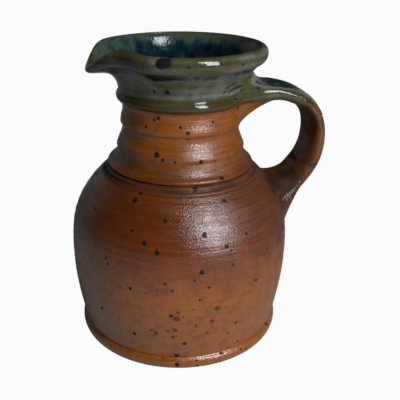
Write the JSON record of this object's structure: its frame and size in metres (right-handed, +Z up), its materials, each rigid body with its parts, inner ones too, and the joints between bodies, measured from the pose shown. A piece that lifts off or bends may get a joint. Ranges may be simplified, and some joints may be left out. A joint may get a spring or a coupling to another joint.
{
  "type": "stoneware pitcher",
  "caption": "Hand-thrown stoneware pitcher with a round belly, ringed collar neck, pulled spout, strap handle and a green-blue glaze on lip, inside and handle top.",
  "frame": {"origin": "centre of the flat base, on the turning axis of belly and neck", "axes": "+Z up along the turning axis, +X towards the handle, -X towards the spout, so the handle and the spout lie in the XZ plane"},
  "size_m": [0.1753, 0.152, 0.2021],
  "materials": {
    "toasted_clay": "satin",
    "luting_clay": "satin",
    "dip_glaze": "gloss",
    "liner_glaze": "gloss"
  },
  "bodies": {
    "root": {"body": "toasted_clay", "neck": "toasted_clay", "handle": "toasted_clay", "upper_lute": "luting_clay", "lower_lute": "luting_clay", "rim_glaze": "dip_glaze", "liner_glaze": "liner_glaze", "handle_glaze": "dip_glaze"}
  },
  "joints": []
}
